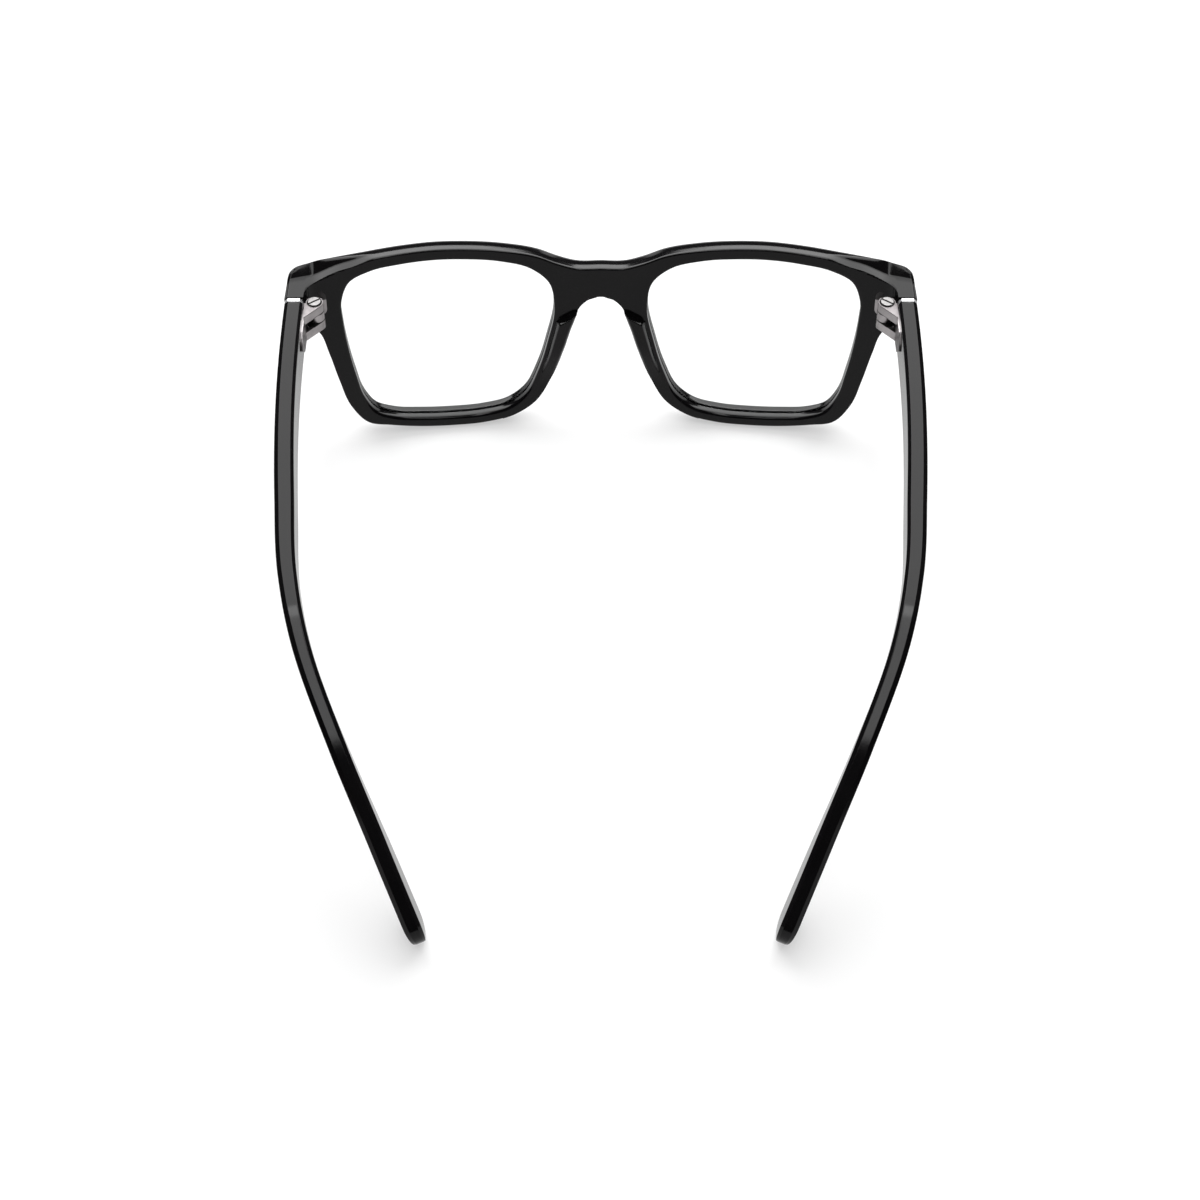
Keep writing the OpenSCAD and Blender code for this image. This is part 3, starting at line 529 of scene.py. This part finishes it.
def face_and_groove(face_from, lens, lens_way):
    """Columns of the face, from its outline in to the opening, then of the lip at the opening's front
    edge with its round, and of the opening's wall with the groove for the lens."""
    rim, lip = 0.4, 0.15
    groove_back, groove_front, groove_deep = 1.97, 3.03, 0.8
    lip_line = lens - lens_way * lip
    face_to = lip_line + lens_way * rim
    rows = [laid(face_from + (face_to - face_from) * t, front_deep) for t in np.linspace(0, 1, 9)[1:]]
    for a in np.linspace(0, math.pi / 2, 5)[1:]:
        flat = lip_line + lens_way * rim * (1 - math.sin(a))
        rows.append(laid(flat, front_deep - rim * (1 - math.cos(a))))
    for gap, deep in ((-lip, 4.3), (0, 3.6), (0, groove_front), (groove_deep, groove_front),
                      (groove_deep, groove_back), (0, groove_back), (0, 1.3)):
        rows.append(laid(lens + lens_way * gap, deep))
    return rows


def front_half():
    """Grid of the front's left half, in its upright frame. Each section is closed: the round at the
    opening's back edge, the back, the outer wall, the face, and the opening's wall with its groove."""
    out, out_way, s_lens, lens, lens_way = sections()
    soft = back_soft(out[:, 0])
    radius = np.interp(s_lens, [1.3, 3, 8, 19.5, 21, 24.3], [0.4, 0.5, 0.7, 0.75, 0.4, 0.4])
    back, deep_end = back_face(lens + lens_way * radius[:, None], out - out_way * soft[:, None])
    wall, face_from = outer_wall(out, out_way, soft, deep_end)
    face = face_and_groove(face_from, lens, lens_way)
    return np.stack(opening_round(lens, lens_way, radius) + back + wall + face, 1)


def plane_down(points, deep):
    """Takes the top of an endpiece down to run level into the temple, with a bevel along its outer edge.

    The height that may stay follows the way in from the side. It is level over the back of the sheet
    and rises in front of that, up to the height that the face's top edge has. Near it, a parabola
    rounds the edge off."""
    ways_in, heights = [0, 6.2, 8.5, 11.2, 15, 21.5, 24], [0, 0.05, 0.8, 1.6, 2.0, 3.7, 30]
    slope, slope_from, edge_high, rise_over = 0.35, -3.0, 42, 2.9
    side_bevel, soft = 0.75, 0.4
    x, z = np.abs(points[..., 0]), points[..., 2]
    from_side = half_width - x
    levels = [np.interp(from_side + shift, ways_in, heights) for shift in (-0.9, -0.45, 0, 0.45, 0.9)]
    back_y, face_y = (in_sheet(x, d) * math.cos(lean) - edge_high * math.sin(lean) for d in (0, front_deep))
    rise_back, rise_face = (slope * np.maximum(0, slope_from - y) for y in (back_y, face_y))
    ahead = np.clip((deep - level_deep) / rise_over, 0, None)
    top = joint_high + np.mean(levels, 0) + rise_back + (rise_face - rise_back) * ahead
    top = top - np.maximum(0, side_bevel - np.maximum(from_side, 0))
    share = np.clip(0.5 + (z - top) / soft, 0, 1)
    z = np.where(z > top + soft / 2, top, z + (top - z) * share - soft / 2 * share * (1 - share))
    return np.stack([points[..., 0], points[..., 1], np.maximum(z, 0)], -1)


def make_room(points):
    """Pushes the inner corner back from the hinge barrel, out to a cylinder 0.3 mm round it."""
    room_radius, room_from, room_to = 2.15, 30.6, 39.19
    beside, behind = points[..., 0] - pin_x, points[..., 1] + middle_y - pin_y
    away = np.hypot(beside, behind)
    inside = (points[..., 2] > room_from) & (points[..., 2] < room_to) & (away < room_radius)
    push = np.where(inside, room_radius / np.maximum(away, 1e-6), 1)
    return np.stack([pin_x + beside * push, behind * push + pin_y - middle_y, points[..., 2]], -1)


def acetate(name, dark, light, wipe_scales, rough):
    """Polished acetate, nearly black, with a faint cloud in its colour. Haze and fine wiping marks along
    the piece vary its roughness, and the bump is too shallow to be seen as a shape."""
    paint, w = finish(name)
    cloud, haze, wipes = grain(w, 55.0, 4.0, 0.6), grain(w, 900.0, 5.0, 0.7), grain(w, wipe_scales)
    polish = w.node("ShaderNodeBump", None, {
        "Strength": 0.05, "Distance": 0.1 * MM, "Height": haze * 0.6 + cloud * 2.0})
    surface(w, w.node("ShaderNodeBsdfPrincipled", None, {
        "Base Color": blend(w, cloud, dark, light, 0.72), "Roughness": rough + 0.05 * haze + 0.05 * wipes,
        "IOR": 1.48, "Specular IOR Level": 0.21, "Normal": polish}))
    return paint


upright = front_half()
from_back = np.hypot(upright[..., 0], wrap - upright[..., 1]) - wrap
left_half = make_room(plane_down(set_down(upright), from_back))
black_acetate = acetate("black_acetate", (0.0030, 0.0028, 0.0032), (0.0052, 0.0048, 0.0051),
                        (260.0, 2600.0, 900.0), 0.05)
front_piece = skin("front_piece", [left_half, left_half * [-1, 1, 1]], black_acetate)
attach(front_piece, "front")
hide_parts("front_frame")


# Lenses. Clear plastic, 2 mm thick, curved with the front and held by a thin rib that snaps into the
# groove. The coating leaves only a faint reflection, which grows where the lens is seen edge on.
lens_back, lens_front, lens_gap = 1.5, 3.5, 0.02
rib_back, rib_front, rib_out, rib_soft = 2.1, 2.9, 0.7, 0.02


def lens_grid():
    """Grid of the left lens: rings from the middle of the back out to the edge, over the edge's thin
    rib, and in to the middle of the front. Every ring is the opening's line drawn in to a share of it."""
    s = np.arange(len(lens_knots) * 8) / 8
    line, way = place_on(lens_knots, s), outward(lens_knots, s)
    middle = lens_knots.mean(0)
    shares = (0.0, 0.15, 0.35, 0.6, 0.85)
    near_rib = [(lens_gap, rib_back), (rib_out - 2 * rib_soft, rib_back + rib_soft),
                (rib_out, rib_back + 3 * rib_soft)]
    far_rib = [(rib_out, rib_front - 3 * rib_soft), (rib_out - 2 * rib_soft, rib_front - rib_soft),
               (lens_gap, rib_front)]
    rings = [(share, lens_gap, lens_back) for share in (*shares, 1)]
    rings += [(1, gap, deep) for gap, deep in near_rib + far_rib]
    rings += [(share, lens_gap, lens_front) for share in (1, *shares[::-1])]
    rows = []
    for share, gap, deep in rings:
        flat = middle + (line + way * gap - middle) * share
        x = flat[:, 0] * (1 + deep / wrap)
        rows.append(np.stack([x, in_sheet(x, deep), flat[:, 1]], -1))
    return set_down(np.stack(rows, 1))


clear_lens, w = finish("clear_lens")
smears = grain(w, 70.0, 4.0)
tint = blend(w, smears, (0.985, 0.99, 0.988), (0.995, 0.998, 0.996))
see_through = w.node("ShaderNodeBsdfTransparent", None, {"Color": tint})
gloss = w.node("ShaderNodeBsdfPrincipled", None, {
    "Base Color": (0.9, 0.9, 0.9), "Metallic": 1.0, "Roughness": 0.01 + 0.03 * smears})
# 1.2 parts in 100 are mirrored head on, and more by the fifth power of how far the lens is turned away
edge_on = w.node("ShaderNodeLayerWeight", None, {"Blend": 0.5}, "Facing")
surface(w, w.node("ShaderNodeMixShader", None, {0: 0.012 + 0.5 * edge_on ** 5.0, 1: see_through, 2: gloss}))
for side, name in ((1, "left_lens"), (-1, "right_lens")):
    lens_piece = skin(name + "_piece", [lens_grid() * [side, 1, 1]], clear_lens, 30, (True, False))
    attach(lens_piece, "front")
    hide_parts(name)


# Nose pads. Spindles of the same acetate, glued along the nose side of each rim and then polished down
# until they run into it without a step.
pad_from, pad_to = 27.6, 34.6
pad_high, pad_top, pad_slant = 2.3, 29.4, 2.8
pad_foot, pad_runs_out = 9.5, 12


def pad_grid():
    """Grid of the left pad: its skin over the back face, from the opening's edge (share 0) to the
    outline (share 1), and the same ground just inside the front. It rises steeply along a slanting
    upper end, stays a rounded ridge beside the nose, and sinks slowly into the lower rim."""
    s, share = np.meshgrid(np.linspace(pad_from, pad_to, 240), np.linspace(0, 1, 34), indexing="ij")
    out = place_on(front_knots, s) - outward(front_knots, s) * 0.04
    lens = place_on(lens_knots, across(s)) + outward(lens_knots, across(s)) * 0.5
    flat = lens + (out - lens) * share[..., None]
    x, z = flat[..., 0], flat[..., 1]
    below = (pad_top - pad_slant * (1 - share)) - z
    rise = pad_high * ease(below / 0.8) * ease((z - pad_foot) / pad_runs_out)
    ridge = ease(share / 0.26) * (1 - 0.45 * np.clip((share - 0.75) / 0.25, 0, 1) ** 2.2)
    over = np.stack([x, in_sheet(x, 0) + rise * ridge - 0.03, z], -1)
    under = np.stack([x, in_sheet(x, 0) - 0.45, z], -1)
    return set_down(np.concatenate([over, under[:, ::-1]], 1))


for side, name in ((1, "left_nose_pad"), (-1, "right_nose_pad")):
    pad = skin(name + "_piece", [pad_grid() * [side, 1, 1]], black_acetate, 60, (False, True))
    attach(pad, "front")
    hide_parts(name)


# Temples. Bars cut from acetate sheet with a bevel along every edge, heated and bent down behind the
# ear. Each is riveted to a leaf of its hinge.
temple_at, temple_y, temple_mid_z = 66.35, 3.4, 35.788
temple_long, temple_in = 135.2, 32.5
ear_from, ear_drop, whole_drop = 0.606, 32.401, 1.8
tip_from = 0.976696
temple_thick, temple_high, temple_bevel = 4.0, 9.4, 0.7
curl_knots = np.array([(0, 0), (0.213, 0.029), (0.41, 0.102), (0.557, 0.18), (0.685, 0.322), (0.803, 0.546),
                       (0.902, 0.77), (1, 1)])


def curl(u):
    """How far in the temple has come at u, as a share of the whole: a cubic between its knots, whose
    slope at each is the mean of the two spans that meet there, weighted by the nearer one."""
    at, value = curl_knots.T
    step = np.diff(at)
    slope = np.diff(value) / step
    inner = (slope[:-1] * step[1:] + slope[1:] * step[:-1]) / (step[1:] + step[:-1])
    slopes = np.concatenate([[1.5 * slope[0] - 0.5 * slope[1]], inner, [1.5 * slope[-1] - 0.5 * slope[-2]]])
    k = np.clip(np.searchsorted(at, u, side="right") - 1, 0, len(step) - 1)
    t = (u - at[k]) / step[k]
    return (value[k] * (1 - 3 * t**2 + 2 * t**3) + slopes[k] * step[k] * (t - 2 * t**2 + t**3)
            + value[k + 1] * (3 * t**2 - 2 * t**3) + slopes[k + 1] * step[k] * (t**3 - t**2))


def temple_line(u):
    """Middle line of the left temple at u from 0 at the joint to 1 at the tip, in mm. Behind ear_from
    it drops by a power of 1.7 of the way to the tip."""
    drop = whole_drop * u + ear_drop * np.clip((u - ear_from) / (1 - ear_from), 0, None) ** 1.7
    return np.stack([temple_at - temple_in * curl(u), temple_y + temple_long * u, temple_mid_z - drop], -1)


def temple_axes(u):
    """Unit vectors along the temple, out to its side and up, with the side and up rolled by up to 16
    degrees toward the tip."""
    ahead = temple_line(u) - temple_line(u - 0.004)
    ahead /= np.linalg.norm(ahead, axis=-1, keepdims=True)
    ahead = np.where((u <= 0)[:, None], [0.0, 1.0, 0.0], ahead)
    side = np.stack([ahead[:, 1], -ahead[:, 0], 0 * u], -1)
    side /= np.linalg.norm(side, axis=-1, keepdims=True)
    up = np.cross(side, ahead)
    roll = np.radians(16 * ease((u - 0.5) / 0.5))[:, None]
    return ahead, side * np.cos(roll) - up * np.sin(roll), up * np.cos(roll) + side * np.sin(roll)


def temple_grid():
    """Grid of the left temple: a bevelled section with softened corners, carried along the middle line
    and drawn in to a round end at the tip by a quarter of an ellipse."""
    turned = np.radians(np.linspace(0, 90, 13))[1:]
    tip_reach = (1 - tip_from) * math.sin(math.radians(78))
    u = np.concatenate([[0, 0.0006], np.linspace(0.004, tip_from, 130),
                        tip_from + tip_reach * np.sin(turned)])
    shrink = np.concatenate([np.ones(len(u) - len(turned)), np.cos(turned)])
    # Half sizes of the section. Its first one is a little smaller, which breaks the edge at the joint
    broken = np.where(u == 0, 0.12, 0)
    thick = (temple_thick - 0.6 * ease((u - 0.35) / 0.4)) / 2
    thick = thick * (0.6 + 0.4 * shrink) * shrink**0.1 - broken
    high = (temple_high - 0.9 * ease(u / 0.55) + 1.3 * ease((u - 0.6) / 0.33)) / 2 * shrink - broken
    # The rounds take 0.586 of their radius off the bevel, and the upper outer bevel is wider
    soft = 0.22 * shrink
    a, b = (thick - soft).clip(0), (high - soft).clip(0)
    bevel = np.minimum(temple_bevel * (0.3 + 0.7 * shrink) - 0.586 * soft, np.minimum(a, b))
    wide_bevel = 1.35 * bevel
    corners = [(a, b - bevel), (a - wide_bevel, b), (bevel - a, b), (-a, b - bevel), (-a, bevel - b),
               (bevel - a, -b), (a - bevel, -b), (a, bevel - b)]
    facing = [0, 53, 90, 135, 180, 225, 270, 315, 360]
    middle = temple_line(u)
    _, side, up = temple_axes(u)
    rows = []
    for (right, top), angle, next_angle in zip(corners, facing, facing[1:]):
        # The first and last rows of a corner lie on the flats beside it, and keep them shaded flat
        for part, shift in ((0, -0.06), (0, 0), (1 / 3, 0), (2 / 3, 0), (1, 0), (1, 0.06)):
            turn = math.radians(angle + (next_angle - angle) * part)
            out_by = right + soft * math.cos(turn) - shift * shrink * math.sin(turn)
            up_by = top + soft * math.sin(turn) + shift * shrink * math.cos(turn)
            rows.append(middle + side * out_by[:, None] + up * up_by[:, None])
    grid = np.stack(rows, 1)
    grid[..., 1] -= middle_y
    grid[..., 2] = np.maximum(grid[..., 2], 0)
    return grid


temple_acetate = acetate("temple_acetate", (0.0032, 0.0030, 0.0034), (0.0056, 0.0052, 0.0055),
                         (2600.0, 260.0, 2600.0), 0.06)
for side, name in ((1, "left_temple"), (-1, "right_temple")):
    bar = skin(name + "_piece", [temple_grid() * [side, 1, 1]], temple_acetate, 40, (False, True))
    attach(bar, name)
    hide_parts(name)


# Hinges. Nickel silver, pressed and tumbled: a leaf let into the front with one knuckle, and a pointed
# leaf let into each temple with the two knuckles that it turns between, all riveted through the acetate.
def soften(name, paint, width, shape=None):
    """A copy of a metal solid with its points made one and a small round along its sharp edges. shape,
    where one is given, moves its points first, in mm."""
    mesh = frame["nodes"][name].data.copy()
    mesh.name = name + "_piece"
    if shape:
        points = np.zeros(len(mesh.vertices) * 3)
        mesh.vertices.foreach_get("co", points)
        mesh.vertices.foreach_set("co", (shape(points.reshape(-1, 3) / MM) * MM).ravel())
    shell = bmesh.new()
    shell.from_mesh(mesh)
    bmesh.ops.remove_doubles(shell, verts=shell.verts, dist=0.001 * MM)
    bmesh.ops.dissolve_limit(shell, angle_limit=math.radians(1.5), verts=shell.verts, edges=shell.edges)
    shell.to_mesh(mesh)
    shell.free()
    mesh.materials.clear()
    mesh.materials.append(paint)
    mesh.shade_smooth()
    mesh.set_sharp_from_angle(angle=math.radians(30))
    piece = bpy.data.objects.new(name + "_piece", mesh)
    bpy.context.scene.collection.objects.link(piece)
    round_edge = piece.modifiers.new("round", "BEVEL")
    round_edge.width, round_edge.segments = width * MM, 2
    round_edge.limit_method, round_edge.angle_limit = "ANGLE", math.radians(32)
    round_edge.harden_normals = True
    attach(piece, frame["nodes"][name]["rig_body"])
    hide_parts(name)


def proud(points):
    """Lifts the face of the front's leaf 0.05 mm out of the back of the front."""
    y, z = points[:, 1] + middle_y, points[:, 2] - front_lift
    own_y = y * math.cos(lean) + z * math.sin(lean)
    deep = np.hypot(points[:, 0], wrap - own_y) - wrap
    lift = np.where(np.abs(deep) < 0.03, 0.05, 0)[:, None]
    return points + lift * [0, math.cos(lean), math.sin(lean)]


def near_to(value, middle, reach):
    """1 at the middle, falling to 0 at this reach to either side."""
    gap = value.maths("ABSOLUTE", value - middle, 0.0)
    return value.maths("MAXIMUM", 1.0 - gap / reach, 0.0)


polished_nickel, w = finish("polished_nickel")
tarnish, drawn = grain(w, 320.0, 4.0), grain(w, (900.0, 900.0, 9000.0))
nickel = blend(w, tarnish, (0.34, 0.318, 0.322), (0.48, 0.455, 0.458))
dents = w.node("ShaderNodeBump", None, {
    "Strength": 0.2, "Distance": 0.04 * MM, "Height": drawn + tarnish * 0.5})
# Grime in a ring round the screw's head and in the seams over and under the middle knuckle, and painted
# shade on the upper part of the front's leaf, for the shadow of the pocket round the hinge. The top of the
# knuckles is duller than their sides.
spots = w.node("ShaderNodeTexCoord", out="Object")
from_middle, back, height = (w.node("ShaderNodeSeparateXYZ", None, {0: spots}, axis) for axis in "XYZ")
beside = w.maths("ABSOLUTE", from_middle, 0.0) - pin_x * MM
behind = back + (middle_y - pin_y) * MM
from_pin = (beside * beside + behind * behind) ** 0.5
ring = near_to(from_pin, 1.43 * MM, 0.3 * MM) * w.maths("GREATER_THAN", height, 38.0 * MM)
seams = near_to(height, 34.338 * MM, 0.22 * MM) + near_to(height, 36.638 * MM, 0.22 * MM)
seams = seams * w.maths("LESS_THAN", from_pin, 3.0 * MM)
# Painted shade: the upper part of the front's leaf is darkened for the shadow of the pocket round the hinge
pocket_shade = w.maths("LESS_THAN", behind, -1.3 * MM) * w.maths("GREATER_THAN", height, 36.2 * MM) * 0.5
grime_and_shade = w.maths("MINIMUM", (ring + seams + pocket_shade) * 1.8, 1.0)
dull = 0.38 * w.maths("GREATER_THAN", height, 38.6 * MM)
# This dark colour is grime in the ring and the seams, and painted shade on the leaf's upper part
grime_and_shade_black = (0.012, 0.011, 0.010)
dirty_and_shaded = w.node("ShaderNodeMix", {"data_type": "RGBA"}, {0: grime_and_shade, 6: nickel, 7: grime_and_shade_black}, 2)
surface(w, w.node("ShaderNodeBsdfPrincipled", None, {
    "Base Color": dirty_and_shaded, "Metallic": 1.0 - 0.7 * grime_and_shade, "Roughness": 0.22 + 0.2 * drawn + 0.3 * grime_and_shade + dull,
    "Normal": dents}))
for name in ("left", "right"):
    soften(name + "_front_hinge", polished_nickel, 0.1, proud)
    soften(name + "_temple_hinge", polished_nickel, 0.14)


# End plates. A thin bright sheet of steel on the end of each temple, in its outline, which closes
# against the endpiece.
def set_back(points):
    """Draws the plate's closing face, all that lies before 2.3 mm, back 0.15 mm, as filing leaves it."""
    return points + np.where(points[:, 1] < 2.3 - middle_y, 0.15, 0)[:, None] * [0, 1, 0]


def steel(name, scale, detail, dark, light, rough, rougher, bump):
    """Bare steel. The marks of the tool vary its tone, its roughness from rough to rough + rougher, and
    its level by a bump of this strength."""
    paint, w = finish(name)
    marks = grain(w, scale, detail)
    level = w.node("ShaderNodeBump", None, {"Strength": bump, "Distance": 0.03 * MM, "Height": marks})
    surface(w, w.node("ShaderNodeBsdfPrincipled", None, {
        "Base Color": blend(w, marks, dark, light), "Metallic": 1.0, "Roughness": rough + rougher * marks,
        "Normal": level}))
    return paint


bright_steel = steel("bright_steel", (500.0, 9000.0, 500.0), 3.0, (0.46, 0.46, 0.47), (0.58, 0.58, 0.585),
                     rough=0.2, rougher=0.12, bump=0.15)
for name in ("left", "right"):
    soften(name + "_end_plate", bright_steel, 0.08, set_back)


# Screws and rivets. Slotted screws turned from steel, put in from above, and soft rivets that are
# hammered flush with the leaves.
def raised(points):
    """Turns the screw, so that its slot points off the square, and lifts the top of its head 0.3 mm."""
    side = math.copysign(1, points[0, 0])
    pin, turn = np.array([side * pin_x, pin_y - middle_y]), side * math.radians(35)
    flat = points[:, :2] - pin
    turned = np.stack([flat[:, 0] * math.cos(turn) - flat[:, 1] * math.sin(turn),
                       flat[:, 0] * math.sin(turn) + flat[:, 1] * math.cos(turn)], -1) + pin
    return np.column_stack([turned, points[:, 2] + np.where(points[:, 2] > 38.3, 0.3, 0)])


def paint_solid(name, paint):
    """Gives a solid that keeps its own mesh this paint."""
    mesh = frame["nodes"][name].data
    mesh.materials.clear()
    mesh.materials.append(paint)


turned_steel = steel("turned_steel", 2200.0, 4.0, (0.24, 0.235, 0.233), (0.42, 0.412, 0.41),
                     rough=0.45, rougher=0.25, bump=0.25)
for name in ("left", "right"):
    soften(name + "_hinge_screw", turned_steel, 0.12, raised)
    paint_solid(name + "_front_rivets", turned_steel)
    paint_solid(name + "_temple_rivets", turned_steel)


# Core wires. Flat stiffening wires pushed into the temples while the acetate is hot. The black acetate
# hides them.
core_metal = steel("core_metal", (4000.0, 200.0, 4000.0), 3.0, (0.42, 0.42, 0.43), (0.56, 0.56, 0.57),
                   rough=0.3, rougher=0.2, bump=0.0)
for name in ("left_core_wire", "right_core_wire"):
    paint_solid(name, core_metal)
